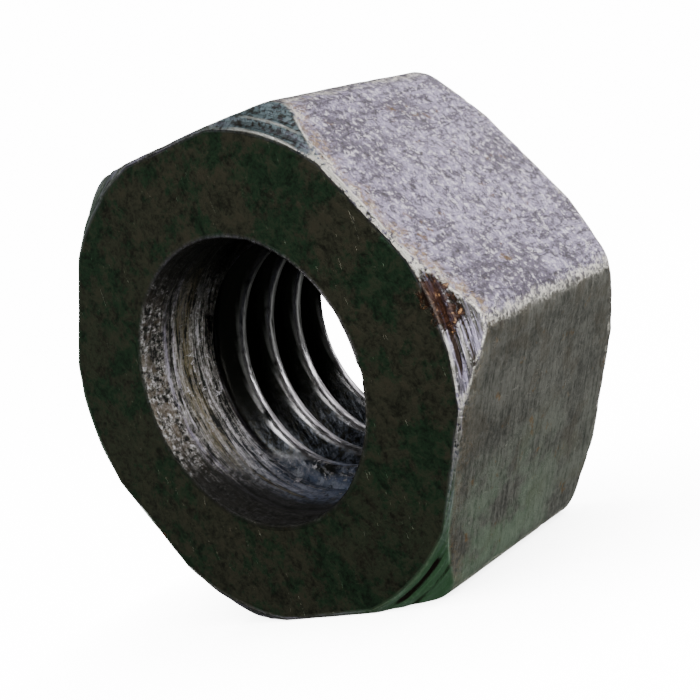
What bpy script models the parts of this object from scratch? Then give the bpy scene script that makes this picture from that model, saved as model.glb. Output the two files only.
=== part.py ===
"""A hex nut with a plain entry bore ahead of its thread, standing on one wrench flat.

The thread's axis lies along Y. The origin is the middle of the lower flat, on the surface that the nut stands on,
with +X across the corners and +Z up. The entry bore opens towards -Y. All lengths are in metres.
"""

import math

import bmesh
import bpy
from mathutils import Matrix

MM = 0.001
HEX_HALF_ANGLE = math.radians(30)

# Driving dimensions
ACROSS_FLATS = 13.0 * MM
THICKNESS = 7.4 * MM
THREAD_DIAMETER = 8.0 * MM
THREAD_PITCH = 1.25 * MM
MINOR_DIAMETER = 6.65 * MM
ENTRY_DIAMETER = 7.76 * MM
ENTRY_DEPTH = 2.75 * MM
FACE_DIAMETER = 13.2 * MM
CHAMFER_ANGLE = math.radians(42)
CORNER_RADIUS = 0.95 * MM
BACK_LEAD_DIAMETER = 7.0 * MM

# The thread is a 60-degree one. On the -X side of the bore, a groove's middle lies this far below the entry face.
THREAD_FLANK_ANGLE = math.radians(30)
GROOVE_ROOT_WIDTH = THREAD_PITCH / 8
GROOVE_DEPTH_AT_SIDE = 2.9 * MM

# Finish
STEEL_COLOUR = (0.16, 0.155, 0.14, 1.0)
STEEL_ROUGHNESS = 0.42
STEEL_METALLIC = 1.0

# Fineness of the round shapes
ROUND_STEPS = 72
THREAD_STEPS_PER_TURN = 36
CORNER_SEGMENTS = 5
MERGE_DISTANCE = 0.001 * MM

# How far the cutters run past what they cut
OVERSHOOT = 1.0 * MM
GROOVE_OVERSHOOT = 0.2 * MM
TURNS_PAST_BACK_FACE = 1
TURNS_INTO_ENTRY_BORE = 0.5

HALF_THICKNESS = THICKNESS / 2
CORNER_DISTANCE = ACROSS_FLATS / 2 / math.cos(HEX_HALF_ANGLE)


def clear_scene():
    for obj in list(bpy.data.objects):
        bpy.data.objects.remove(obj, do_unlink=True)


def new_collection(name):
    collection = bpy.data.collections.new(name)
    bpy.context.scene.collection.children.link(collection)
    return collection


def new_object(name, mesh, collection, parent):
    obj = bpy.data.objects.new(name, mesh)
    collection.objects.link(obj)
    obj.parent = parent
    return obj


def nut_axis_frame(collection):
    """An empty at the nut's centre. Its local Z is the thread's axis and points out of the entry bore."""
    axis = bpy.data.objects.new("nut_axis", None)
    axis.location = (0, 0, ACROSS_FLATS / 2)
    axis.rotation_euler = (math.radians(90), 0, 0)
    collection.objects.link(axis)
    return axis


def steel_material():
    material = bpy.data.materials.new("steel")
    material.use_nodes = True
    shader = material.node_tree.nodes["Principled BSDF"]
    shader.inputs["Base Color"].default_value = STEEL_COLOUR
    shader.inputs["Roughness"].default_value = STEEL_ROUGHNESS
    shader.inputs["Metallic"].default_value = STEEL_METALLIC
    return material


def hex_prism_mesh():
    """The plain hexagon bar: corners at 0, 60, 120 ... degrees, with its six long edges rounded."""
    bar = bmesh.new()
    bmesh.ops.create_cone(
        bar,
        cap_ends=True,
        segments=6,
        radius1=CORNER_DISTANCE,
        radius2=CORNER_DISTANCE,
        depth=THICKNESS,
    )
    bmesh.ops.rotate(bar, verts=bar.verts, matrix=Matrix.Rotation(HEX_HALF_ANGLE, 3, "Z"))
    long_edges = [e for e in bar.edges if abs(e.verts[0].co.z - e.verts[1].co.z) > HALF_THICKNESS]
    bmesh.ops.bevel(
        bar,
        geom=long_edges,
        offset=CORNER_RADIUS * math.tan(HEX_HALF_ANGLE),
        offset_type="OFFSET",
        segments=CORNER_SEGMENTS,
        profile=0.5,
        affect="EDGES",
    )
    mesh = bpy.data.meshes.new("nut_body")
    bar.to_mesh(mesh)
    bar.free()
    return mesh


def turned_object(name, profile, collection, parent):
    """A solid of revolution about local Z. The profile is (radius, height) pairs, from top to bottom."""
    mesh = bpy.data.meshes.new(name)
    edges = [(i, i + 1) for i in range(len(profile) - 1)]
    mesh.from_pydata([(radius, 0, height) for radius, height in profile], edges, [])
    obj = new_object(name, mesh, collection, parent)
    screw = obj.modifiers.new("turn", "SCREW")
    screw.axis = "Z"
    screw.steps = ROUND_STEPS
    screw.render_steps = ROUND_STEPS
    screw.use_merge_vertices = True
    screw.merge_threshold = MERGE_DISTANCE
    return obj


def chamfer_envelope(collection, parent):
    """The turned outline that leaves a chamfer on each corner. Its cones carry on past the nut's two faces."""
    face_radius = FACE_DIAMETER / 2
    outer_radius = CORNER_DISTANCE + OVERSHOOT
    slope = math.tan(CHAMFER_ANGLE)
    outer_height = HALF_THICKNESS - (outer_radius - face_radius) * slope
    end_radius = face_radius - OVERSHOOT / slope
    end_height = HALF_THICKNESS + OVERSHOOT
    profile = [
        (0, end_height),
        (end_radius, end_height),
        (outer_radius, outer_height),
        (outer_radius, -outer_height),
        (end_radius, -end_height),
        (0, -end_height),
    ]
    return turned_object("chamfer_envelope", profile, collection, parent)


def bore_cutter(collection, parent):
    """The drilled hole with the wider entry bore at the top and a small lead-in cone at the bottom."""
    minor_radius = MINOR_DIAMETER / 2
    entry_radius = ENTRY_DIAMETER / 2
    lead_radius = BACK_LEAD_DIAMETER / 2
    lead_depth = lead_radius - minor_radius
    entry_floor = HALF_THICKNESS - ENTRY_DEPTH
    profile = [
        (0, HALF_THICKNESS + OVERSHOOT),
        (entry_radius, HALF_THICKNESS + OVERSHOOT),
        (entry_radius, entry_floor),
        (minor_radius, entry_floor),
        (minor_radius, lead_depth - HALF_THICKNESS),
        (lead_radius + OVERSHOOT, -HALF_THICKNESS - OVERSHOOT),
        (0, -HALF_THICKNESS - OVERSHOOT),
    ]
    return turned_object("bore_cutter", profile, collection, parent)


def thread_cutter(collection, parent):
    """The 60-degree groove of a right-hand thread: one section wound up the axis, with both ends capped."""
    root_radius = THREAD_DIAMETER / 2
    inner_radius = MINOR_DIAMETER / 2 - GROOVE_OVERSHOOT
    root_half_width = GROOVE_ROOT_WIDTH / 2
    inner_half_width = root_half_width + (root_radius - inner_radius) * math.tan(THREAD_FLANK_ANGLE)
    section = [
        (inner_radius, -inner_half_width),
        (root_radius, -root_half_width),
        (root_radius, root_half_width),
        (inner_radius, inner_half_width),
    ]
    # The winding starts on the -X side, a whole number of turns below the groove that opens into the entry bore.
    turns_below = math.ceil((THICKNESS - GROOVE_DEPTH_AT_SIDE) / THREAD_PITCH) + TURNS_PAST_BACK_FACE
    first_height = HALF_THICKNESS - GROOVE_DEPTH_AT_SIDE - turns_below * THREAD_PITCH
    turns = turns_below + TURNS_INTO_ENTRY_BORE
    steps = round(turns * THREAD_STEPS_PER_TURN)
    groove = bmesh.new()
    points = [groove.verts.new((-radius, 0, first_height + height)) for radius, height in section]
    for i, point in enumerate(points):
        groove.edges.new((point, points[(i + 1) % len(points)]))
    bmesh.ops.spin(
        groove,
        geom=groove.verts[:] + groove.edges[:],
        cent=(0, 0, 0),
        axis=(0, 0, 1),
        dvec=(0, 0, THREAD_PITCH * turns / steps),
        angle=math.tau * turns,
        steps=steps,
        use_duplicate=False,
    )
    open_edges = [edge for edge in groove.edges if edge.is_boundary]
    bmesh.ops.holes_fill(groove, edges=open_edges, sides=len(section))
    bmesh.ops.recalc_face_normals(groove, faces=groove.faces[:])
    mesh = bpy.data.meshes.new("thread_cutter")
    groove.to_mesh(mesh)
    groove.free()
    return new_object("thread_cutter", mesh, collection, parent)


def shape_by(obj, cutter, operation):
    boolean = obj.modifiers.new(cutter.name, "BOOLEAN")
    boolean.operation = operation
    boolean.object = cutter
    boolean.solver = "EXACT"
    cutter.hide_render = True
    cutter.display_type = "WIRE"


def main():
    clear_scene()
    parts = new_collection("hex_nut")
    cutters = new_collection("hex_nut_cutters")
    cutters.hide_render = True
    axis = nut_axis_frame(parts)
    nut = new_object("nut_body", hex_prism_mesh(), parts, axis)
    nut.data.materials.append(steel_material())
    shape_by(nut, chamfer_envelope(cutters, axis), "INTERSECT")
    shape_by(nut, bore_cutter(cutters, axis), "DIFFERENCE")
    shape_by(nut, thread_cutter(cutters, axis), "DIFFERENCE")


main()
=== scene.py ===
"""The looks of a worn steel hex nut: its fine mesh, its steel, a pale floor, soft light and the camera.

Lengths are in metres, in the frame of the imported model: the nut stands on its lower flat, its thread's axis
lies along Y, and its entry bore opens towards -Y.
"""

import functools
import math
from typing import NamedTuple

import bpy
import numpy as np
from mathutils import Matrix, Vector

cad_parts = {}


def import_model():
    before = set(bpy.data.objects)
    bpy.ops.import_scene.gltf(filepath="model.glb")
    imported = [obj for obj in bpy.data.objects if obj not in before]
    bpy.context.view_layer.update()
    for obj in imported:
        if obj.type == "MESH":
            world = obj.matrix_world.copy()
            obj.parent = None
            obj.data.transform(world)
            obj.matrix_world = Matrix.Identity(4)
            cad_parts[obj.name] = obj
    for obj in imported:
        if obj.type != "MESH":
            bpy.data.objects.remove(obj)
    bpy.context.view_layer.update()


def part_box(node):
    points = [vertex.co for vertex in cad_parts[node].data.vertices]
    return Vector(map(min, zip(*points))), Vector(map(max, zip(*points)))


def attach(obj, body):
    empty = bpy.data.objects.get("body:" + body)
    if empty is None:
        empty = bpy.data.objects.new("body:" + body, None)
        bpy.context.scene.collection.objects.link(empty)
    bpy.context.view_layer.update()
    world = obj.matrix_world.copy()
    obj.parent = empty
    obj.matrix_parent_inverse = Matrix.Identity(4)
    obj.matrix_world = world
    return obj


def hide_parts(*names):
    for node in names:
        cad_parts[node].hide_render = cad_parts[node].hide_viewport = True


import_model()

MM = 0.001

# The nut's box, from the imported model
LOW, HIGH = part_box("nut_body")
THICKNESS = HIGH.y - LOW.y
ACROSS_FLATS = HIGH.z - LOW.z
CENTRE = (LOW + HIGH) / 2

# The nut's own dimensions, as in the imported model
THREAD_DIAMETER = 8.0 * MM
THREAD_PITCH = 1.25 * MM
MINOR_DIAMETER = 6.65 * MM
ENTRY_DIAMETER = 7.76 * MM
ENTRY_DEPTH = 2.75 * MM
FACE_DIAMETER = 13.2 * MM
CHAMFER_ANGLE = math.radians(42)
CORNER_RADIUS = 0.95 * MM
BACK_LEAD_DIAMETER = 7.0 * MM

# The small break of a face's rim in the middle of a flat, where the turned chamfer doesn't reach
RIM_BREAK = 0.10 * MM

# On the -X side of the bore, a groove's middle lies this far below the entry face
GROOVE_DEPTH_AT_SIDE = 2.9 * MM

# The thread's first stretch, just past the entry bore, where its grooves go no deeper than the bore's wall
RUN_IN = 0.3 * MM

HEX_HALF_ANGLE = math.radians(30)
THREAD_FLANK_ANGLE = math.radians(30)
GROOVE_ROOT_HALF_WIDTH = THREAD_PITCH / 16
CORNER_DISTANCE = ACROSS_FLATS / 2 / math.cos(HEX_HALF_ANGLE)

# Columns of the mesh run round the axis. The bore has half as many.
OUTER_COLUMNS = 540

# The stretches of the profile, in order, each with its number of rows and how much they crowd to its ends
OUTER_STRETCHES = {
    "back_face": (12, 0.6),
    "back_chamfer": (7, 0.5),
    "side": (46, 0.7),
    "front_chamfer": (18, 0.5),
    "front_face": (26, 0.4),
}
BORE_STRETCHES = {
    "entry": (60, 0.3),
    "ledge": (4, 0.5),
    "thread": (64, 0),
    "lead": (5, 0.5),
}
STRETCHES = {**OUTER_STRETCHES, **BORE_STRETCHES}

# Points used to measure the outline before its columns are spaced along it
OUTLINE_SAMPLES = 7201

# How often each row is averaged with its neighbours, to round the edges
SOFTENING = 2

# The mesh's noises, each as a wavelength and a seed
BROAD_NOISE = (2.6 * MM, 11)
GRAIN_NOISE = (0.42 * MM, 21)
PIT_NOISE = (0.55 * MM, 31)
FINE_DENT_NOISE = (0.30 * MM, 41)
COARSE_DENT_NOISE = (0.9 * MM, 42)
RING_DRIFT_NOISE = (3.0 * MM, 51)
RING_TEAR_NOISE = (0.8 * MM, 52)

# Unevenness in millimetres: how far each kind of noise moves the surface on each kind of stretch
BROAD_HEIGHT = {"side": 0.012, "face": 0.006, "chamfer": 0.006}
GRAIN_HEIGHT = {"side": 0.0065, "face": 0.0030, "chamfer": 0.006, "cut": 0.006, "thread": 0.003}
PIT_DEPTH = {"side": 0.020, "face": 0.010, "cut": 0.030, "thread": 0.010}
FINE_DENT = 0.045 * MM
COARSE_DENT = 0.05 * MM

# The entry bore's rings: the distance from one to the next and their height, coarse and fine
COARSE_RING_PITCH = 0.62 * MM
COARSE_RING_HEIGHT = 0.018 * MM
FINE_RING_PITCH = 0.25 * MM
FINE_RING_HEIGHT = 0.014 * MM

# The lathe tool's steps on the front chamfer: height up or down, then distance from the face's rim and
# width, both in millimetres
CHAMFER_STEPS = [(1.0, 0.04, 0.05), (-1.0, 0.17, 0.06), (0.8, 0.31, 0.05), (-0.5, 0.42, 0.05)]
CHAMFER_STEP_HEIGHT = 0.035 * MM
CHAMFER_STEP_REACH = 1.2 * MM

# The kinds of stretch that the mesh's unevenness tells apart, each with how often its weight is blurred
RELIEF_ZONES = {
    "side": (["side"], 2),
    "face": (["front_face", "back_face"], 2),
    "chamfer": (["front_chamfer", "back_chamfer"], 1),
    "cut": (["entry", "ledge"], 1),
    "thread": (["thread", "lead"], 1),
}

# The kinds of stretch that the steel's shader tells apart
SHADED_ZONES = {
    "skin": ["front_face", "back_face"],
    "chamfer": ["front_chamfer", "back_chamfer"],
    "flank": ["side"],
    "entry": ["entry", "ledge"],
    "thread": ["thread", "lead"],
}

# Edges that are nicked, each by the two stretches that meet there
NICKED_EDGES = [("side", "front_chamfer"), ("front_chamfer", "front_face"), ("back_chamfer", "side")]

# The thread's crests, in pitches from the groove's middle: where they start and are full, the place of their
# front edge, and how far from that edge its painted highlight starts to fade and is gone
LAND_START = (0.33, 0.39)
CREST_FRONT_EDGE = -0.405
EDGE_FADE = (0.06, 0.11)

# How dark and stained each wrench flat is, from 0 to 1, by the direction that it faces in degrees from +X:
# age, with painted shade that darkens the flats facing down and to the -X side
FLAT_AGE_AND_SHADE = {30: 0.0, 90: 0.25, 150: 0.6, 210: 0.8, 270: 1.0, 330: 1.0}

# A flat keeps its own age and painted shade up to this many degrees from its middle, which is just short of
# its corners
FLAT_REACH = 28.8

# How far from a rim its wear and painted highlight reach
RIM_REACH = 0.07 * MM

# Places round the nut, each as a middle and a reach in degrees from +X towards +Z
# The side where the rims and the chamfer's ridges are painted bright: wear, and a painted highlight where the
# light from the right falls
MOST_LIT_AND_RUBBED = (20, 62)
LIT_AND_RUBBED = (35, 75)
# Where the top chamfer gets a painted blue reflection of the light above
BLUE_REFLECTION_PLACE = (62, 34)
# Where a painted green reflection lies
GREEN_REFLECTION_BELOW = (-58, 40)
GREEN_REFLECTION_BEHIND = (165, 75)
LOW_BORE = (-85, 90)
# Where the thread's first flank, low down, takes the lighter bore finish: wear and painted light
LIT_WORN_RUN_IN = (-85, 75)
# Where the crests' painted highlight is strongest, on the side that light from behind and above would reach
LIT_WORN_CRESTS = (-160, 80)
# Where the bore gets painted shade: along its top, and low down by its mouth
SHADED_BORE_TOP = (85, 82)
SHADED_BORE_MOUTH = (-95, 88)

# Rust: its angle in degrees from +X, its distance from the axis, and how far it spreads
RUST_PATCHES = [
    (3, 6.95 * MM, 0.60 * MM),
    (8, 6.80 * MM, 0.60 * MM),
    (214, 6.6 * MM, 0.40 * MM),
]


# ---------------------------------------------------------------- noise

LATTICE_SIDE = 32
NOISE_LAYERS = 3


def lattice_noise(points, wavelength, seed):
    """Smooth noise from -1 to 1 at each point, from a repeating lattice of random values."""
    lattice = np.random.default_rng(seed).uniform(-1, 1, (LATTICE_SIDE,) * 3)
    scaled = points / wavelength
    cell = np.floor(scaled).astype(np.int64)
    part = scaled - cell
    part = part * part * (3 - 2 * part)
    total = np.zeros(len(points))
    for corner in np.ndindex(2, 2, 2):
        weight = np.prod(np.where(np.array(corner) == 1, part, 1 - part), axis=1)
        index = (cell + np.array(corner)) % LATTICE_SIDE
        total += weight * lattice[index[:, 0], index[:, 1], index[:, 2]]
    return total


def layered_noise(points, wavelength, seed):
    """Noise with finer, weaker noise on top of it."""
    total = np.zeros(len(points))
    for layer in range(NOISE_LAYERS):
        total += lattice_noise(points, wavelength / 2**layer, seed + layer) / 2**layer
    return total


def smooth_step(low, high, value):
    """0 below low, 1 above high, and smooth between them."""
    part = np.clip((value - low) / (high - low), 0, 1)
    return part * part * (3 - 2 * part)


def angle_weight(angle, middle, width):
    """1 at the middle angle and fading to 0 at one width from it, in degrees."""
    off = np.abs(np.mod(np.degrees(angle) - middle + 180, 360) - 180)
    return 1 - smooth_step(0, width, off)


# ---------------------------------------------------------------- the nut's fine mesh
# Profile points are (radius, height): height is measured along the axis from the middle of the nut, and is
# positive towards the entry bore's face.

def outline_radius(angle):
    """The distance from the axis to the hexagon's side, with its corners at 0, 60 ... degrees rounded."""
    from_corner = np.mod(angle + HEX_HALF_ANGLE, 2 * HEX_HALF_ANGLE) - HEX_HALF_ANGLE
    from_flat = HEX_HALF_ANGLE - np.abs(from_corner)
    flat = ACROSS_FLATS / 2 / np.cos(from_flat)
    centre = CORNER_DISTANCE - CORNER_RADIUS / math.cos(HEX_HALF_ANGLE)
    tangent = math.atan2(centre * math.sin(HEX_HALF_ANGLE), ACROSS_FLATS / 2)
    inside = np.maximum(CORNER_RADIUS**2 - (centre * np.sin(from_corner)) ** 2, 0)
    rounded = centre * np.cos(from_corner) + np.sqrt(inside)
    return np.where(from_flat > tangent, rounded, flat)


def column_angles():
    """Angles that divide the hexagon's outline into equal lengths, so that its corners get their share."""
    fine = np.linspace(0, math.tau, OUTLINE_SAMPLES)
    radius = outline_radius(fine)
    x, y = radius * np.cos(fine), radius * np.sin(fine)
    length = np.concatenate([[0], np.cumsum(np.hypot(np.diff(x), np.diff(y)))])
    wanted = np.arange(OUTER_COLUMNS) * length[-1] / OUTER_COLUMNS
    return np.interp(wanted, length, fine)


def pair(radius, height, like):
    """(radius, height) with a value for each column."""
    return np.array([np.broadcast_to(radius, like.shape), np.broadcast_to(height, like.shape)])


def stretch_rows(name, start, end):
    """The rows of a stretch, from its start up to its end but without the end itself, crowded to both."""
    count, crowding = STRETCHES[name]
    even = np.linspace(0, 1, count + 1)
    crowded = (1 - np.cos(math.pi * even)) / 2
    fractions = even * (1 - crowding) + crowded * crowding
    return [start + (end - start) * t for t in fractions[:-1]]


def groove_offset(angle, height):
    """How far a place lies above the middle of the nearest groove, in pitches from -0.5 to 0.5."""
    groove = THICKNESS / 2 - GROOVE_DEPTH_AT_SIDE + THREAD_PITCH * (angle - math.pi) / math.tau
    turns = (height - groove) / THREAD_PITCH
    return turns - np.round(turns)


def thread_radius(angle, height):
    """The bore's radius in the threaded stretch: a 60-degree groove that winds up the axis, right-handed."""
    root, minor = THREAD_DIAMETER / 2, MINOR_DIAMETER / 2
    off_groove = np.abs(groove_offset(angle, height)) * THREAD_PITCH
    flank = root - (off_groove - GROOVE_ROOT_HALF_WIDTH) / math.tan(THREAD_FLANK_ANGLE)
    return np.clip(flank, minor, root)


def face_radius(side):
    """Where a face ends: at its turned circle or, in the middle of a flat, at the small break of its rim."""
    return np.minimum(FACE_DIAMETER / 2, side - RIM_BREAK)


def outer_rows(angle):
    """From the back opening over the back face, the sides and the front face to the entry bore's mouth."""
    half = THICKNESS / 2
    side = outline_radius(angle)
    face = face_radius(side)
    drop = (side - face) * math.tan(CHAMFER_ANGLE)
    back_mouth = pair(BACK_LEAD_DIAMETER / 2, -half, angle)
    front_mouth = pair(ENTRY_DIAMETER / 2, half, angle)
    back_rim, front_rim = pair(face, -half, angle), pair(face, half, angle)
    back_edge, front_edge = pair(side, drop - half, angle), pair(side, half - drop, angle)
    stations = [back_mouth, back_rim, back_edge, front_edge, front_rim, front_mouth]
    rows = []
    for name, start, end in zip(OUTER_STRETCHES, stations, stations[1:]):
        rows += stretch_rows(name, start, end)
    return np.array(rows)


def bore_rows(angle):
    """From the entry bore's mouth down the bore and the thread to the back opening."""
    half = THICKNESS / 2
    entry = ENTRY_DIAMETER / 2
    floor = half - ENTRY_DEPTH
    lead = (BACK_LEAD_DIAMETER - MINOR_DIAMETER) / 2
    top = np.minimum(thread_radius(angle, floor), entry)
    cone_start = thread_radius(angle, lead - half)
    cone_end = np.maximum(BACK_LEAD_DIAMETER / 2, cone_start)
    rows = stretch_rows("entry", pair(entry, half, angle), pair(entry, floor, angle))
    rows += stretch_rows("ledge", pair(entry, floor, angle), pair(top, floor, angle))
    for height in np.linspace(floor, lead - half, STRETCHES["thread"][0], endpoint=False):
        radius = thread_radius(angle, height)
        if height > floor - RUN_IN:
            radius = np.minimum(radius, entry)
        rows.append(pair(radius, height, angle))
    rows += stretch_rows("lead", pair(cone_start, lead - half, angle), pair(cone_end, -half, angle))
    return np.array(rows)


def soften(rows):
    """Rounds every edge that crosses the rows, by averaging each row with its neighbours."""
    for _ in range(SOFTENING):
        rows = rows / 2 + (np.roll(rows, 1, axis=0) + np.roll(rows, -1, axis=0)) / 4
    return rows


def to_frame(rows, angle):
    """(row, column, xyz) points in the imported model's frame, from rows of (radius, height)."""
    radius, height = rows[:, 0], rows[:, 1]
    return np.stack(
        [
            CENTRE.x + radius * np.cos(angle),
            CENTRE.y - height,
            CENTRE.z + radius * np.sin(angle),
        ],
        axis=-1,
    )


def grid_faces(first, rows, columns):
    """Quads between neighbouring rows of a grid that closes on itself round the axis."""
    row, column = np.meshgrid(np.arange(rows - 1), np.arange(columns), indexing="ij")
    after = (column + 1) % columns
    a = first + row * columns + column
    b = first + row * columns + after
    return np.stack([a, b, b + columns, a + columns], axis=-1).reshape(-1, 4)


def joining_faces(outer_row, bore_row, bore_columns, outer_first):
    """Triangles that join a row of the outside to a row of the bore, which has half as many columns."""
    faces = []
    for column in range(bore_columns):
        after = (column + 1) % bore_columns
        a = outer_row + 2 * column
        b = a + 1
        c = outer_row + 2 * after
        d = bore_row + column
        e = bore_row + after
        group = [(a, b, d), (b, e, d), (b, c, e)]
        if not outer_first:
            group = [face[::-1] for face in group]
        faces += group
    return faces


def row_zones():
    """The stretch of the profile that each row belongs to."""
    return np.repeat(list(STRETCHES), [count for count, _ in STRETCHES.values()])


def surface_normals(points):
    """The outward normal at each point of the (row, column, xyz) grid."""
    round_axis = np.roll(points, -1, axis=1) - np.roll(points, 1, axis=1)
    over_rows = np.roll(points, -1, axis=0) - np.roll(points, 1, axis=0)
    normal = np.cross(round_axis, over_rows)
    return normal / np.maximum(np.linalg.norm(normal, axis=-1, keepdims=True), 1e-12)


def zone_weight(zones, names, blur):
    """1 on the rows of the named zones, fading over the rows beside them."""
    weight = np.isin(zones, names).astype(float)
    for _ in range(blur):
        weight = weight / 2 + (np.roll(weight, 1) + np.roll(weight, -1)) / 4
    return weight


def bump_at(value, middle, width):
    """1 at the middle, falling off smoothly on both sides of it."""
    return np.exp(-(((value - middle) / width) ** 2))


def turned_ridges(rows, angle):
    """The lathe tool's steps where the front chamfer meets the face, from -1 in a groove to 1 on a ridge."""
    side = outline_radius(angle)
    beyond = (rows[:, 0] - face_radius(side)) / MM
    width = (side - face_radius(side)) / MM
    steps = sum(step * bump_at(beyond, middle, spread) for step, middle, spread in CHAMFER_STEPS)
    on_front = rows[:, 1] > THICKNESS / 2 - CHAMFER_STEP_REACH
    return steps * smooth_step(0.2, 0.5, width) * on_front * (beyond > 0)


def turned_rings(rows, points):
    """The entry bore's tool marks: uneven rings, torn in places."""
    flat = points.reshape(-1, 3)
    depth = THICKNESS / 2 - rows[:, 1]
    drift = lattice_noise(flat, *RING_DRIFT_NOISE).reshape(depth.shape)
    torn = smooth_step(-0.5, 0.5, lattice_noise(flat, *RING_TEAR_NOISE).reshape(depth.shape))
    coarse = np.sin(math.tau * (depth / COARSE_RING_PITCH + 0.20 * drift))
    fine = np.sin(math.tau * (depth / FINE_RING_PITCH + 0.35 * drift))
    return COARSE_RING_HEIGHT * coarse + FINE_RING_HEIGHT * fine * torn


def forged_height(points, zones, rows, angle):
    """How far each point stands out of, or lies under, the nut's ideal surface."""
    flat = points.reshape(-1, 3)
    shape = points.shape[:2]
    broad = layered_noise(flat, *BROAD_NOISE).reshape(shape)
    grain = layered_noise(flat, *GRAIN_NOISE).reshape(shape)
    pits = smooth_step(0.45, 0.8, lattice_noise(flat, *PIT_NOISE).reshape(shape))
    weight = {kind: zone_weight(zones, *fading)[:, None] for kind, fading in RELIEF_ZONES.items()}

    def amount(sizes):
        return MM * sum(size * weight[kind] for kind, size in sizes.items())

    height = broad * amount(BROAD_HEIGHT) + grain * amount(GRAIN_HEIGHT) - pits * amount(PIT_DEPTH)
    height += turned_rings(rows, points) * weight["cut"]
    return height + CHAMFER_STEP_HEIGHT * turned_ridges(rows, angle) * weight["chamfer"]


def edge_nicks(points, zones):
    """Dents along the nicked edges, as an inward push."""
    flat = points.reshape(-1, 3)
    shape = points.shape[:2]
    fine = lattice_noise(flat, *FINE_DENT_NOISE).reshape(shape)
    coarse = lattice_noise(flat, *COARSE_DENT_NOISE).reshape(shape)
    rim = np.zeros(len(zones))
    for before, after in NICKED_EDGES:
        crossing = np.flatnonzero((zones == before) & (np.roll(zones, -1) == after))
        rim[crossing] = 1
        rim[crossing + 1] = 1
    rim = rim / 2 + (np.roll(rim, 1) + np.roll(rim, -1)) / 4
    dent = smooth_step(0.0, 0.9, fine) * FINE_DENT + smooth_step(0.25, 0.9, coarse) * COARSE_DENT
    return -dent * rim[:, None]


def lathe_coordinates(rows, angle):
    """Coordinates for turned marks: the place round the axis, and one that changes only across the marks."""
    radius, height = rows[:, 0], rows[:, 1]
    return np.stack([radius * np.cos(angle), radius * np.sin(angle), radius - height], axis=-1)


def nut_mesh():
    """The whole nut as one closed mesh, with the attributes that its shader reads."""
    angle = column_angles()
    outer = outer_rows(angle)
    bore = bore_rows(angle)
    zones = row_zones()
    rows = soften(np.concatenate([outer, bore]))
    points = to_frame(rows, angle)
    normals = surface_normals(points)
    height = forged_height(points, zones, rows, angle) + edge_nicks(points, zones)
    points = points + normals * height[..., None]
    attributes = {**zone_attributes(rows, zones, angle), **place_attributes(rows, angle)}
    outer_count = len(outer)
    bore_columns = OUTER_COLUMNS // 2

    def kept(grid):
        """The grid's values at the mesh's vertices. The bore keeps every second column."""
        parts = (grid[:outer_count], grid[outer_count:, ::2])
        return np.concatenate([part.reshape(-1, *grid.shape[2:]) for part in parts])

    vertices = kept(points)
    bore_first = outer_count * OUTER_COLUMNS
    faces = grid_faces(0, outer_count, OUTER_COLUMNS).tolist()
    faces += grid_faces(bore_first, len(bore), bore_columns).tolist()
    last_outer = (outer_count - 1) * OUTER_COLUMNS
    last_bore = bore_first + (len(bore) - 1) * bore_columns
    faces += joining_faces(last_outer, bore_first, bore_columns, True)
    faces += joining_faces(0, last_bore, bore_columns, False)
    mesh = bpy.data.meshes.new("nut")
    mesh.from_pydata(vertices.tolist(), [], faces)
    for name, grid in attributes.items():
        kind = "FLOAT_VECTOR" if grid.ndim == 3 else "FLOAT"
        field = "vector" if grid.ndim == 3 else "value"
        attribute = mesh.attributes.new(name, kind, "POINT")
        attribute.data.foreach_set(field, kept(grid).astype(np.float32).ravel())
    mesh.shade_smooth()
    return mesh


def lit_worn_run_in(rows, angle):
    """1 where the start of the thread has the entry bore's lighter finish: on its first flank, in the lower
    part, as wear and as painted light.
    """
    depth = THICKNESS / 2 - rows[:, 1]
    reach = ENTRY_DEPTH + 0.85 * MM * angle_weight(angle, *LIT_WORN_RUN_IN)
    return 1 - smooth_step(reach - 0.1 * MM, reach + 0.15 * MM, depth)


def crest_wear_and_highlight(rows, angle):
    """How bright the thread's crests are: worn, with a painted highlight along their front edges, most on the
    -X side of the bore.
    """
    offset = groove_offset(angle, rows[:, 1])
    land = smooth_step(*LAND_START, np.abs(offset))
    front_edge = 1 - smooth_step(*EDGE_FADE, np.abs(offset - CREST_FRONT_EDGE))
    return land * (0.25 + 0.75 * front_edge) * (0.25 + 0.75 * angle_weight(angle, *LIT_WORN_CRESTS))


def zone_attributes(rows, zones, angle):
    """The weight of each shaded zone, and how bright the thread's crests and the turned rims are: wear with a
    painted highlight.
    """
    ones = np.ones((len(rows), len(angle)))
    made = {name: zone_weight(zones, parts, 1)[:, None] * ones for name, parts in SHADED_ZONES.items()}
    # The first flank low down gets the entry bore's lighter finish: wear and painted light
    spill = lit_worn_run_in(rows, angle) * made["thread"]
    made["entry"] = made["entry"] + spill
    made["thread"] = made["thread"] - spill
    made["crest"] = crest_wear_and_highlight(rows, angle) * (zones == "thread")[:, None]
    made["edge"] = rim_wear_and_highlight(rows, zones, angle)
    return made


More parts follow.
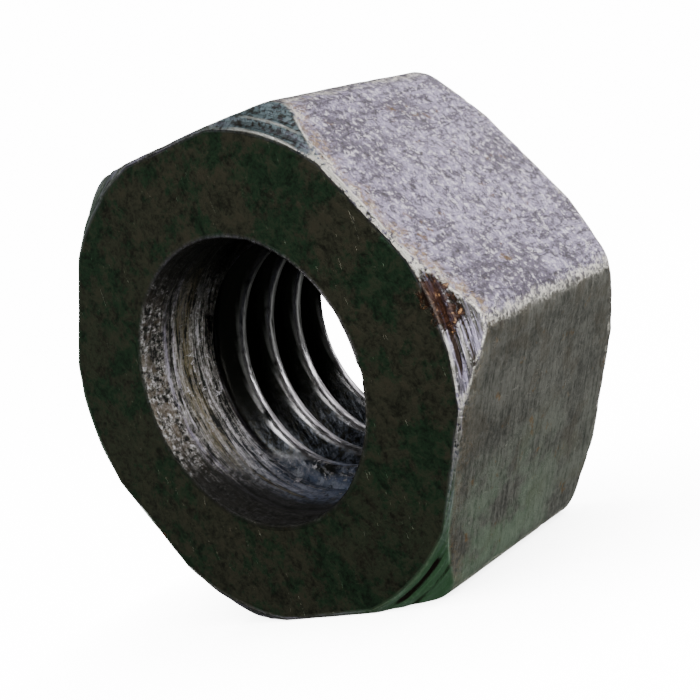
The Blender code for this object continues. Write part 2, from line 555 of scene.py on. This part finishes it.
def place_attributes(rows, angle):
    """What the shader knows of the place on the nut: shares, lengths in mm, and "turned" in metres."""
    side = outline_radius(angle)
    across = np.diff(side * np.cos(angle))
    along = np.diff(side * np.sin(angle))
    around = np.concatenate([[0], np.cumsum(np.hypot(across, along))]) / MM
    drop = (side - face_radius(side)) * math.tan(CHAMFER_ANGLE)
    height = rows[:, 1]
    to_front = (THICKNESS / 2 - drop - height) / MM
    to_back = (THICKNESS / 2 - drop + height) / MM
    from_corner = np.abs(np.mod(angle + HEX_HALF_ANGLE, 2 * HEX_HALF_ANGLE) - HEX_HALF_ANGLE)
    to_corner = side * np.sin(from_corner) / MM
    ends = [(middle + sign * FLAT_REACH, share) for middle, share in FLAT_AGE_AND_SHADE.items() for sign in (-1, 1)]
    age_and_shade = np.interp(np.degrees(angle), *zip(*ends), period=360)
    ones = np.ones(height.shape)
    reflected_green_mask = angle_weight(angle, *GREEN_REFLECTION_BELOW) + 0.8 * angle_weight(angle, *GREEN_REFLECTION_BEHIND)
    near_front = 1 - 0.75 * smooth_step(0.4 * THICKNESS, 0.9 * THICKNESS, THICKNESS / 2 - height)
    return {
        "turned": lathe_coordinates(rows, angle),
        "unrolled": np.stack([around * ones, height / MM, 0 * ones], axis=-1),
        "depth": (THICKNESS / 2 - height) / THICKNESS,
        "to_front_edge": to_front,
        "to_back_edge": to_back,
        "to_corner": to_corner * ones,
        "age_and_shade": age_and_shade * ones,
        "rusted": rust_patches(rows, angle),
        "ridge": turned_ridges(rows, angle),
        "blue_reflection": angle_weight(angle, *BLUE_REFLECTION_PLACE) * ones,
        "low_bore": angle_weight(angle, *LOW_BORE) * ones,
        "bore_shade": painted_bore_shade(rows, angle),
        "lit_and_rubbed": angle_weight(angle, *LIT_AND_RUBBED) * ones,
        "green_reflection": reflected_green_mask * near_front,
    }


def painted_bore_shade(rows, angle):
    """Where the bore gets painted shade: all along its top, and low down only near the mouth."""
    depth = THICKNESS / 2 - rows[:, 1]
    near_mouth = 1 - 0.85 * smooth_step(0.4 * MM, 2.4 * MM, depth)
    top, mouth = angle_weight(angle, *SHADED_BORE_TOP), angle_weight(angle, *SHADED_BORE_MOUTH)
    return np.clip(top + 1.4 * mouth * near_mouth, 0, 1)


def rust_patches(rows, angle):
    """Rust on the front chamfer by the corner at +X, and a smaller spot low on the -X side."""
    radius, height = rows[:, 0], rows[:, 1]
    total = np.zeros(radius.shape)
    for middle, out, size in RUST_PATCHES:
        across = radius * np.radians(np.mod(np.degrees(angle) - middle + 180, 360) - 180)
        distance = np.sqrt(across**2 + (radius - out) ** 2 + (height - THICKNESS / 2) ** 2)
        total += 1 - smooth_step(0.3 * size, size, distance)
    return np.clip(total, 0, 1)


def rim_wear_and_highlight(rows, zones, angle):
    """How bright the turned rims are, as wear and a painted highlight: most on a rim of the lit, worn side,
    and 0 from RIM_REACH away.
    """
    radius, height = rows[:, 0], rows[:, 1]
    side = outline_radius(angle)
    face = face_radius(side)
    end = THICKNESS / 2 - (side - face) * math.tan(CHAMFER_ANGLE)
    across = np.minimum(side - radius, np.abs(radius - face)) / math.cos(CHAMFER_ANGLE)
    across = across * smooth_step(RIM_BREAK, 3 * RIM_BREAK, side - face)
    from_rims = {"side": end - np.abs(height), "front_chamfer": across, "back_chamfer": across}
    wear = np.zeros(radius.shape)
    for name, distance in from_rims.items():
        wear += (zones == name)[:, None] * (1 - smooth_step(0.3 * RIM_REACH, RIM_REACH, distance))
    return wear * np.clip(0.12 + 1.5 * angle_weight(angle, *MOST_LIT_AND_RUBBED), 0, 1)


# ---------------------------------------------------------------- steel

# Paints of the finishes: dark skins, bare and aged steel, stains and rust, tints, and the bore's own
OLIVE_BLACK = (0.105, 0.105, 0.073, 1)
BOTTLE_GREEN = (0.048, 0.098, 0.055, 1)
UMBER = (0.135, 0.108, 0.078, 1)
SCRATCH_GREY = (0.16, 0.16, 0.145, 1)
LILAC_STEEL = (0.42, 0.375, 0.52, 1)
DARK_STEEL = (0.115, 0.098, 0.135, 1)
# Bare steel, also laid as a painted highlight on the thread's crests
BRIGHT_STEEL = (0.90, 0.87, 0.90, 1)
AGED_STEEL = (0.28, 0.27, 0.245, 1)
AGED_DARK = (0.07, 0.068, 0.060, 1)
CREAM = (0.95, 0.90, 0.82, 1)
STAIN = (0.40, 0.27, 0.13, 1)
BURNT = (0.040, 0.028, 0.022, 1)
RUST_DARK = (0.050, 0.022, 0.014, 1)
RUST_RED = (0.10, 0.050, 0.034, 1)
RUST_ORANGE = (0.60, 0.34, 0.15, 1)
# A painted blue reflection
REFLECTED_BLUE = (0.27, 0.35, 0.38, 1)
# A painted green reflection
REFLECTED_GREEN = (0.24, 0.52, 0.27, 1)
# Near-black, also laid in the bore as painted shade
NEAR_BLACK = (0.020, 0.020, 0.018, 1)
BORE_GREY = (0.33, 0.31, 0.29, 1)
BORE_BROWN = (0.24, 0.20, 0.11, 1)
BORE_BLUE = (0.16, 0.20, 0.31, 1)


class Noise(NamedTuple):
    coordinates: str
    scale: float
    detail: float
    roughness: float
    distortion: float = 0.0
    stretch: tuple = None


# The shader's noises. The larger a stretch, the narrower the marks are in that direction.
NOISES = {
    "face_broad": Noise("place", 0.7, 6, 0.78),
    "face_middle": Noise("place", 2.2, 6, 0.75, 0.5),
    "face_grain": Noise("place", 7, 4, 0.75),
    "face_scratch": Noise("place", 1.6, 2, 0.6, 0.4, stretch=(7.0, 1.0, 0.8)),
    "flat_broad": Noise("place", 0.75, 4, 0.6),
    "flat_worms": Noise("place", 2.5, 5, 0.80, 0.5),
    "flat_grain": Noise("place", 6.5, 4, 0.8, 0.4),
    "flat_drawn": Noise("unrolled", 1.0, 5, 0.75, 1.2, stretch=(4.5, 1.3, 1)),
    "flat_brushed": Noise("unrolled", 1.0, 3, 0.7, 0.3, stretch=(0.9, 7.5, 1)),
    "flat_brown": Noise("place", 1.1, 4, 0.6),
    "flat_rust": Noise("place", 1.7, 5, 0.7),
    "chamfer_streak": Noise("turned", 1.5, 4, 0.65, 0.2, stretch=(0.55, 0.55, 5.0)),
    "chamfer_grain": Noise("place", 7.5, 3, 0.7),
    "entry_rings": Noise("turned", 1.0, 5, 0.7, 0.2, stretch=(0.5, 0.5, 6.0)),
    "entry_fine_rings": Noise("turned", 1.0, 3, 0.7, 0.2, stretch=(1.5, 1.5, 16.0)),
    "entry_grain": Noise("place", 7.5, 5, 0.8),
    "entry_lumps": Noise("place", 2.4, 5, 0.75, 0.4),
    "thread_grain": Noise("place", 6.0, 3, 0.7),
    "thread_along": Noise("turned", 1.0, 3, 0.6, stretch=(1.0, 1.0, 7.0)),
    "edge_wander": Noise("place", 2.2, 4, 0.7),
    "edge_speck": Noise("place", 9.0, 3, 0.7),
    "rust_flakes": Noise("place", 5.0, 5, 0.7, 0.5),
}

# The length that a height of 1 stands for in the shader's relief
BUMP_DISTANCE = 0.03 * MM


class Graph:
    """Makes and joins shader nodes. Every input may be a number, a colour or another node's socket."""

    def __init__(self, tree):
        self.tree = tree
        self.coordinates = {
            "place": self.scaled(self.add("ShaderNodeTexCoord").outputs["Object"], (1 / MM,) * 3),
            "turned": self.scaled(self.attribute("turned", "Vector"), (1 / MM,) * 3),
            "unrolled": self.attribute("unrolled", "Vector"),
        }

    def add(self, kind, inputs=(), **settings):
        node = self.tree.nodes.new(kind)
        for name, value in settings.items():
            setattr(node, name, value)
        for name, value in dict(inputs).items():
            if isinstance(value, bpy.types.NodeSocket):
                self.tree.links.new(value, node.inputs[name])
            else:
                node.inputs[name].default_value = value
        return node

    def attribute(self, name, output="Fac"):
        return self.add("ShaderNodeAttribute", attribute_name=name).outputs[output]

    def scaled(self, vector, factors):
        node = self.add("ShaderNodeVectorMath", {0: vector, 1: factors}, operation="MULTIPLY")
        return node.outputs["Vector"]

    def noise(self, name):
        kind = NOISES[name]
        vector = self.coordinates[kind.coordinates]
        if kind.stretch:
            vector = self.scaled(vector, kind.stretch)
        inputs = {
            "Vector": vector,
            "Scale": kind.scale,
            "Detail": kind.detail,
            "Roughness": kind.roughness,
            "Distortion": kind.distortion,
        }
        return self.add("ShaderNodeTexNoise", inputs).outputs["Fac"]

    def band(self, value, low, high):
        """0 below low, 1 above high, and smooth between them. low may be the larger."""
        inputs = {"Value": value, "From Min": low, "From Max": high}
        return self.add("ShaderNodeMapRange", inputs, interpolation_type="SMOOTHSTEP").outputs["Result"]

    def calc(self, operation, first, second):
        return self.add("ShaderNodeMath", {0: first, 1: second}, operation=operation).outputs["Value"]

    def times(self, *values):
        return functools.reduce(lambda total, value: self.calc("MULTIPLY", total, value), values)

    def plus(self, *values):
        return functools.reduce(lambda total, value: self.calc("ADD", total, value), values)

    def without(self, value):
        return self.calc("SUBTRACT", 1, value)

    def larger(self, first, second):
        return self.calc("MAXIMUM", first, second)

    # A Mix node's sockets share their names, so they are told apart by number: its factor is 0, its two
    # numbers are 2 and 3, and its two colours are 6 and 7.

    def colours(self, factor, first, second):
        """The first colour where the factor is 0, and the second where it is 1."""
        return self.add("ShaderNodeMix", {0: factor, 6: first, 7: second}, data_type="RGBA").outputs[2]

    def numbers(self, factor, first, second):
        """The first number where the factor is 0, and the second where it is 1."""
        return self.add("ShaderNodeMix", {0: factor, 2: first, 3: second}, data_type="FLOAT").outputs[0]

    def coat(self, under, paint, *masks):
        """The paint laid over a colour as far as every mask lets it."""
        return self.colours(self.times(*masks), under, paint)


def face_finish(g):
    """The two faces: black oxide with green and brown in it, faint scratches, and patches of painted green
    reflection.
    """
    broad = g.noise("face_broad")
    middle = g.noise("face_middle")
    grain = g.noise("face_grain")
    scratch = g.noise("face_scratch")
    scratches = g.times(g.band(scratch, 0.66, 0.72), g.band(middle, 0.45, 0.60))
    # A painted green reflection in patches
    reflected_green_mask = g.times(g.attribute("green_reflection"), g.band(middle, 0.42, 0.58), 0.6)
    front = g.band(g.attribute("depth"), 1.3, 0.3)
    green = g.larger(g.times(g.band(broad, 0.47, 0.57), front), reflected_green_mask)
    colour = g.colours(green, OLIVE_BLACK, BOTTLE_GREEN)
    colour = g.coat(colour, UMBER, g.band(middle, 0.50, 0.62), front, 0.4)
    clouds = g.plus(g.times(middle, 0.6), g.times(grain, 0.4))
    colour = g.coat(colour, NEAR_BLACK, g.band(clouds, 0.56, 0.36), 0.8)
    colour = g.coat(colour, SCRATCH_GREY, scratches, 0.4)
    roughness = g.plus(0.36, g.times(middle, 0.22))
    height = g.plus(g.times(grain, 0.45), g.times(middle, 0.8), g.times(scratches, -0.5))
    return colour, roughness, height


def flat_finish(g):
    """The wrench flats: mottled scale, worn bright in specks, dark and stained on the older ones, whose
    darkness is partly painted shade on the flats facing down, with a painted green reflection on them.
    """
    age_and_shade = g.attribute("age_and_shade")
    broad = g.noise("flat_broad")
    worms = g.noise("flat_worms")
    grain = g.noise("flat_grain")
    drawn = g.noise("flat_drawn")
    brushed = g.noise("flat_brushed")
    near_corner = g.band(g.attribute("to_corner"), 3.2, 1.2)
    marks = g.numbers(g.times(near_corner, g.without(age_and_shade)), worms, drawn)
    bright = g.colours(g.band(marks, 0.43, 0.54), DARK_STEEL, LILAC_STEEL)
    bright = g.coat(bright, DARK_STEEL, g.band(broad, 0.45, 0.58), 0.75)
    bright = g.coat(bright, BRIGHT_STEEL, g.band(grain, 0.53, 0.62), 0.8)
    bright = g.coat(bright, AGED_DARK, g.band(grain, 0.48, 0.38), 0.8)
    old_marks = g.plus(g.times(brushed, 0.35), g.times(grain, 0.35), g.times(broad, 0.30))
    old = g.colours(g.band(old_marks, 0.38, 0.60), AGED_DARK, AGED_STEEL)
    brown = g.band(g.noise("flat_brown"), 0.50, 0.64)
    old = g.coat(old, UMBER, brown, 0.4)
    # A painted green reflection on the old flats
    old = g.coat(old, REFLECTED_GREEN, g.attribute("green_reflection"), g.band(broad, 0.40, 0.60), 0.25)
    # The darker copy of the steel on the flats facing down is partly age and partly painted shade
    colour = g.colours(age_and_shade, bright, old)
    rust = g.times(g.band(g.noise("flat_rust"), 0.61, 0.69), 0.8)
    colour = g.colours(rust, colour, g.colours(grain, RUST_DARK, STAIN))
    roughness = g.plus(0.34, g.times(marks, 0.16), g.times(rust, 0.2))
    old_relief = g.times(brushed, age_and_shade, 0.6)
    height = g.plus(g.times(marks, 1.7), g.times(grain, 1.0), old_relief, g.times(broad, 0.8))
    return colour, roughness, height


def chamfer_finish(g):
    """The corner chamfers: turned streaks of bare steel with dark scale between them, a painted blue
    reflection on the top one, a painted green reflection, and ridges painted cream on the lit, worn side as
    wear and painted highlight.
    """
    streak = g.noise("chamfer_streak")
    grain = g.noise("chamfer_grain")
    colour = g.colours(g.band(streak, 0.44, 0.62), AGED_DARK, LILAC_STEEL)
    colour = g.coat(colour, BRIGHT_STEEL, g.band(grain, 0.56, 0.68), 0.6)
    # A painted blue reflection on the top chamfer
    blue_reflection = g.times(g.attribute("blue_reflection"), 0.9)
    colour = g.colours(blue_reflection, colour, g.colours(g.band(grain, 0.40, 0.56), AGED_DARK, REFLECTED_BLUE))
    # A painted green reflection
    colour = g.coat(colour, REFLECTED_GREEN, g.attribute("green_reflection"), 0.85)
    ridge = g.plus(g.attribute("ridge"), g.times(g.calc("SUBTRACT", streak, 0.5), 1.2))
    # The ridges on the lit, worn side are painted cream: wear and a painted highlight
    colour = g.coat(colour, CREAM, g.band(ridge, 0.3, 0.9), g.attribute("lit_and_rubbed"), 0.9)
    burnt = g.times(g.band(ridge, -0.2, -0.7), g.without(g.times(g.attribute("blue_reflection"), 0.5)))
    colour = g.coat(colour, BURNT, burnt)
    roughness = g.plus(0.30, g.times(grain, 0.2))
    height = g.plus(g.times(streak, 2.4), g.times(grain, 0.6))
    return colour, roughness, height


def entry_finish(g):
    """The plain entry bore: torn at its mouth, ringed further in, with brown and blue tints, and painted
    shade along its top and low by its mouth.
    """
    rings = g.noise("entry_rings")
    fine_rings = g.noise("entry_fine_rings")
    grain = g.noise("entry_grain")
    lumps = g.noise("entry_lumps")
    depth = g.times(g.attribute("depth"), THICKNESS / MM)
    torn = g.band(g.plus(depth, g.times(lumps, 0.6)), 1.35, 0.95)
    ringed = g.plus(g.times(rings, 0.45), g.times(fine_rings, 0.30), g.times(grain, 0.25))
    pitted = g.plus(g.times(grain, 0.6), g.times(lumps, 0.25), g.times(fine_rings, 0.15))
    marks = g.numbers(torn, ringed, pitted)
    colour = g.colours(g.band(marks, 0.45, 0.52), NEAR_BLACK, BORE_GREY)
    colour = g.coat(colour, BRIGHT_STEEL, g.band(marks, 0.52, 0.56))
    olive = g.times(g.band(depth, 1.2, 1.45), g.band(depth, 2.1, 1.8), g.band(fine_rings, 0.40, 0.55))
    colour = g.coat(colour, BORE_BROWN, olive, 0.7)
    umber = g.times(torn, g.band(lumps, 0.48, 0.56))
    colour = g.coat(colour, UMBER, umber, 0.8)
    blue = g.times(g.attribute("low_bore"), g.band(depth, 0.9, 1.7), g.band(rings, 0.34, 0.52))
    colour = g.coat(colour, BORE_BLUE, blue, 0.9)
    violet = g.times(g.band(depth, 0.75, 0.95), g.band(depth, 1.35, 1.15), g.band(rings, 0.50, 0.58))
    colour = g.coat(colour, LILAC_STEEL, violet, 0.6)
    pits = g.band(lumps, 0.42, 0.36)
    colour = g.coat(colour, NEAR_BLACK, pits, 0.8)
    glints = g.times(g.band(lumps, 0.60, 0.64), g.band(depth, 0.9, 1.5))
    colour = g.coat(colour, BRIGHT_STEEL, glints)
    patchy = g.plus(g.times(lumps, 1.2), g.times(rings, 0.8), -1.0)
    # Painted shade along the bore's top and low by its mouth, which also makes the steel rougher there
    painted_shade = g.band(g.plus(g.attribute("bore_shade"), patchy), 0.05, 0.65)
    colour = g.coat(colour, NEAR_BLACK, painted_shade, 0.95)
    roughness = g.plus(0.24, g.times(grain, 0.22), g.times(painted_shade, 0.35))
    height = g.plus(g.times(rings, 1.6), g.times(fine_rings, 0.9), g.times(grain, 1.9), g.times(pits, -1.3))
    return colour, roughness, height


def thread_finish(g):
    """The thread: oily black flanks, and crests that are worn bright and carry a painted highlight, dimmed
    where the bore has painted shade.
    """
    grain = g.noise("thread_grain")
    along = g.noise("thread_along")
    # The crests are dimmed where the bore's painted shade falls
    unshaded = g.without(g.times(g.attribute("bore_shade"), 0.85))
    crest = g.times(g.attribute("crest"), g.band(along, 0.30, 0.50), unshaded)
    brown = g.times(g.band(grain, 0.50, 0.70), g.attribute("low_bore"), 0.35)
    colour = g.colours(brown, NEAR_BLACK, BORE_BROWN)
    colour = g.coat(colour, BORE_BLUE, g.attribute("low_bore"), g.band(grain, 0.40, 0.62), 0.4)
    colour = g.coat(colour, BRIGHT_STEEL, crest)
    roughness = g.plus(0.24, g.times(grain, 0.16))
    height = g.plus(g.times(along, 1.2), g.times(grain, 0.4))
    return colour, roughness, height


def mixed(g, weight, under, over):
    """One finish over another. A finish is a colour, a roughness and a height."""
    colour = g.colours(weight, under[0], over[0])
    return colour, g.numbers(weight, under[1], over[1]), g.numbers(weight, under[2], over[2])


def worn_and_lit_edges(g, finish):
    """Cream-bright rims, worn and with a painted highlight, with stains beside them, and worn corners."""
    colour, roughness, height = finish
    wander = g.noise("edge_wander")
    speck = g.noise("edge_speck")
    shift = g.times(g.calc("SUBTRACT", wander, 0.5), 1.6)
    flank = g.attribute("flank")
    front = g.plus(g.attribute("to_front_edge"), shift)
    back = g.plus(g.attribute("to_back_edge"), shift)
    stain = g.times(flank, g.band(front, 0.60, 0.10), g.band(speck, 0.42, 0.54))
    stain = g.times(stain, g.without(g.times(g.attribute("age_and_shade"), 0.75)))
    colour = g.coat(colour, STAIN, stain, 0.75)
    # Cream along the front rim on the lit, worn side: wear and a painted highlight
    cream = g.times(flank, g.attribute("lit_and_rubbed"), g.band(front, 0.16, 0.0))
    cream = g.larger(cream, g.times(flank, g.band(back, 0.10, 0.0), 0.5))
    corner = g.plus(g.attribute("to_corner"), g.times(shift, 0.7))
    cream = g.larger(cream, g.times(flank, g.band(corner, 0.26, 0.10), g.band(wander, 0.40, 0.52)))
    cream = g.times(cream, g.band(speck, 0.38, 0.56))
    chips = g.plus(g.times(speck, 0.6), g.times(wander, 0.4))
    # The turned rims painted bright: wear, and a painted highlight that the narrow rounding can't catch
    rim = g.times(g.attribute("edge"), g.band(chips, 0.44, 0.50))
    cream = g.larger(cream, rim)
    colour = g.coat(colour, CREAM, cream)
    height = g.plus(height, g.times(speck, cream, 0.8))
    return colour, roughness, height


def rusted(g, finish):
    """Dark and orange scale on the rusted patches."""
    colour, roughness, height = finish
    flakes = g.noise("rust_flakes")
    patch = g.attribute("rusted")
    rust = g.times(g.band(g.plus(patch, g.times(flakes, 4.0)), 2.2, 2.7), g.band(patch, 0.02, 0.25), 0.9)
    scale = g.colours(g.band(flakes, 0.50, 0.60), RUST_DARK, RUST_RED)
    scale = g.coat(scale, RUST_ORANGE, g.band(flakes, 0.58, 0.66))
    colour = g.colours(rust, colour, scale)
    roughness = g.numbers(rust, roughness, 0.55)
    height = g.plus(height, g.times(flakes, rust, 2.0))
    return colour, roughness, height


# Each shaded zone's finish. What none of them covers has the flats' finish.
ZONE_FINISHES = {
    "skin": face_finish,
    "chamfer": chamfer_finish,
    "entry": entry_finish,
    "thread": thread_finish,
}


def steel():
    """The nut's one material: a finish for each shaded zone, with its worn edges, partly a painted highlight,
    and its rust on top.
    """
    material = bpy.data.materials.new("worn_steel")
    material.use_nodes = True
    shader = material.node_tree.nodes["Principled BSDF"]
    g = Graph(material.node_tree)
    finish = flat_finish(g)
    for zone, zone_finish in ZONE_FINISHES.items():
        finish = mixed(g, g.attribute(zone), finish, zone_finish(g))
    colour, roughness, height = rusted(g, worn_and_lit_edges(g, finish))
    bump = g.add("ShaderNodeBump", {"Height": height, "Strength": 1.0, "Distance": BUMP_DISTANCE})
    links = material.node_tree.links
    links.new(colour, shader.inputs["Base Color"])
    links.new(roughness, shader.inputs["Roughness"])
    links.new(bump.outputs["Normal"], shader.inputs["Normal"])
    shader.inputs["Metallic"].default_value = 1.0
    return material


# ---------------------------------------------------------------- the studio

# Angles are in degrees. Azimuth 0 is -Y and 90 is +X.
CAMERA_AZIMUTH = 41.92
CAMERA_ELEVATION = 4.38
CAMERA_ROLL = -18.99
CAMERA_DISTANCE = 37.3 * MM
CAMERA_AIM = Vector((0.29 * MM, 0.24 * MM, 6.28 * MM))

# The lens and the sensor in millimetres, as Blender's camera takes them
CAMERA_LENS = 68.66
SENSOR_WIDTH = 36
NEAR_LIMIT = 1.0 * MM

# The brightness of the white around the nut, and of the floor right under it, where it is shaded
BACKDROP_BRIGHTNESS = 15.0
SHADOW_BRIGHTNESS = 4.0
SHADOW_REACH = 7.0 * MM

WHITE = (1, 1, 1, 1)
FLOOR_HALF_SIDE = 4.0
FLOOR_COLOUR = (0.9, 0.9, 0.9, 1)
FLOOR_ROUGHNESS = 0.9
ROOM_COLOUR = (0.10, 0.11, 0.10, 1)

# Soft lights: azimuth, elevation, then distance, width and height in millimetres, then radiance and colour
LIGHTS = {
    "light_behind": (156, 34, 80, 105, 60, 1.95, (1.0, 0.96, 1.0)),
    "light_through": (141, 9, 80, 24, 20, 9.0, (1, 1, 1)),
    "light_right": (76, 0, 90, 36, 64, 13.0, (1, 1, 1)),
    "light_rim": (22, 42, 90, 34, 34, 8.0, (1, 1, 1)),
    "light_above": (-14, 62, 90, 60, 60, 0.9, (0.85, 0.95, 1.0)),
    "light_left": (-110, 30, 110, 80, 80, 0.4, (1, 1, 1)),
    "light_front": (-35, 6, 100, 120, 90, 0.20, (1.0, 1.0, 0.94)),
    "table_glow": (155, -36, 60, 70, 60, 0.32, (0.97, 1.0, 0.95)),
}


def from_direction(azimuth, elevation):
    """The unit vector that points at this azimuth and elevation."""
    a, e = math.radians(azimuth), math.radians(elevation)
    return Vector((math.sin(a) * math.cos(e), -math.cos(a) * math.cos(e), math.sin(e)))


def place_looking(obj, place, target, roll=0.0):
    """Puts a camera or a lamp at a place, with its -Z axis towards the target."""
    turn = (target - place).to_track_quat("-Z", "Y").to_matrix().to_4x4()
    obj.matrix_world = Matrix.Translation(place) @ turn @ Matrix.Rotation(math.radians(roll), 4, "Z")


def camera():
    data = bpy.data.cameras.new("camera")
    data.lens = CAMERA_LENS
    data.sensor_width = SENSOR_WIDTH
    data.clip_start = NEAR_LIMIT
    obj = bpy.data.objects.new("camera", data)
    bpy.context.scene.collection.objects.link(obj)
    place = CAMERA_AIM + from_direction(CAMERA_AZIMUTH, CAMERA_ELEVATION) * CAMERA_DISTANCE
    place_looking(obj, place, CAMERA_AIM, CAMERA_ROLL)
    bpy.context.scene.camera = obj


def soft_light(name, azimuth, elevation, distance, width, height, radiance, colour):
    """A rectangular light that faces the middle of the nut. Its distance and size are in millimetres."""
    data = bpy.data.lights.new(name, "AREA")
    data.shape = "RECTANGLE"
    data.size = width * MM
    data.size_y = height * MM
    data.color = colour
    data.energy = radiance * math.pi * data.size * data.size_y
    obj = bpy.data.objects.new(name, data)
    bpy.context.scene.collection.objects.link(obj)
    place_looking(obj, CENTRE + from_direction(azimuth, elevation) * distance * MM, CENTRE)
    obj.visible_camera = False


def floor():
    """A pale table that only the camera sees, with a painted shadow where the nut stands close over it."""
    side = FLOOR_HALF_SIDE
    mesh = bpy.data.meshes.new("floor")
    corners = [(-side, -side, 0), (side, -side, 0), (side, side, 0), (-side, side, 0)]
    mesh.from_pydata(corners, [], [(0, 1, 2, 3)])
    obj = bpy.data.objects.new("floor", mesh)
    bpy.context.scene.collection.objects.link(obj)
    material = bpy.data.materials.new("pale_floor")
    material.use_nodes = True
    shader = material.node_tree.nodes["Principled BSDF"]
    shader.inputs["Base Color"].default_value = FLOOR_COLOUR
    shader.inputs["Roughness"].default_value = FLOOR_ROUGHNESS
    shader.inputs["Emission Color"].default_value = WHITE
    nodes, links = material.node_tree.nodes, material.node_tree.links
    openness = nodes.new("ShaderNodeAmbientOcclusion")
    openness.inputs["Distance"].default_value = SHADOW_REACH
    strength = nodes.new("ShaderNodeMapRange")
    strength.inputs["To Min"].default_value = SHADOW_BRIGHTNESS
    strength.inputs["To Max"].default_value = BACKDROP_BRIGHTNESS
    links.new(openness.outputs["AO"], strength.inputs["Value"])
    links.new(strength.outputs["Result"], shader.inputs["Emission Strength"])
    mesh.materials.append(material)
    obj.visible_glossy = False
    obj.visible_diffuse = False
    obj.visible_shadow = False


def world():
    """White to the camera, and a dim studio to everything that the steel mirrors."""
    made = bpy.data.worlds.new("studio")
    made.use_nodes = True
    bpy.context.scene.world = made
    nodes, links = made.node_tree.nodes, made.node_tree.links
    nodes.clear()
    out = nodes.new("ShaderNodeOutputWorld")
    mix = nodes.new("ShaderNodeMixShader")
    path = nodes.new("ShaderNodeLightPath")
    room = nodes.new("ShaderNodeBackground")
    room.inputs["Color"].default_value = ROOM_COLOUR
    room.inputs["Strength"].default_value = 1.0
    backdrop = nodes.new("ShaderNodeBackground")
    backdrop.inputs["Color"].default_value = WHITE
    backdrop.inputs["Strength"].default_value = BACKDROP_BRIGHTNESS
    links.new(path.outputs["Is Camera Ray"], mix.inputs["Fac"])
    links.new(room.outputs["Background"], mix.inputs[1])
    links.new(backdrop.outputs["Background"], mix.inputs[2])
    links.new(mix.outputs["Shader"], out.inputs["Surface"])


nut = bpy.data.objects.new("nut", nut_mesh())
bpy.context.scene.collection.objects.link(nut)
nut.data.materials.append(steel())
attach(nut, "root")
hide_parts("nut_body")

camera()
floor()
world()
for name, settings in LIGHTS.items():
    soft_light(name, *settings)
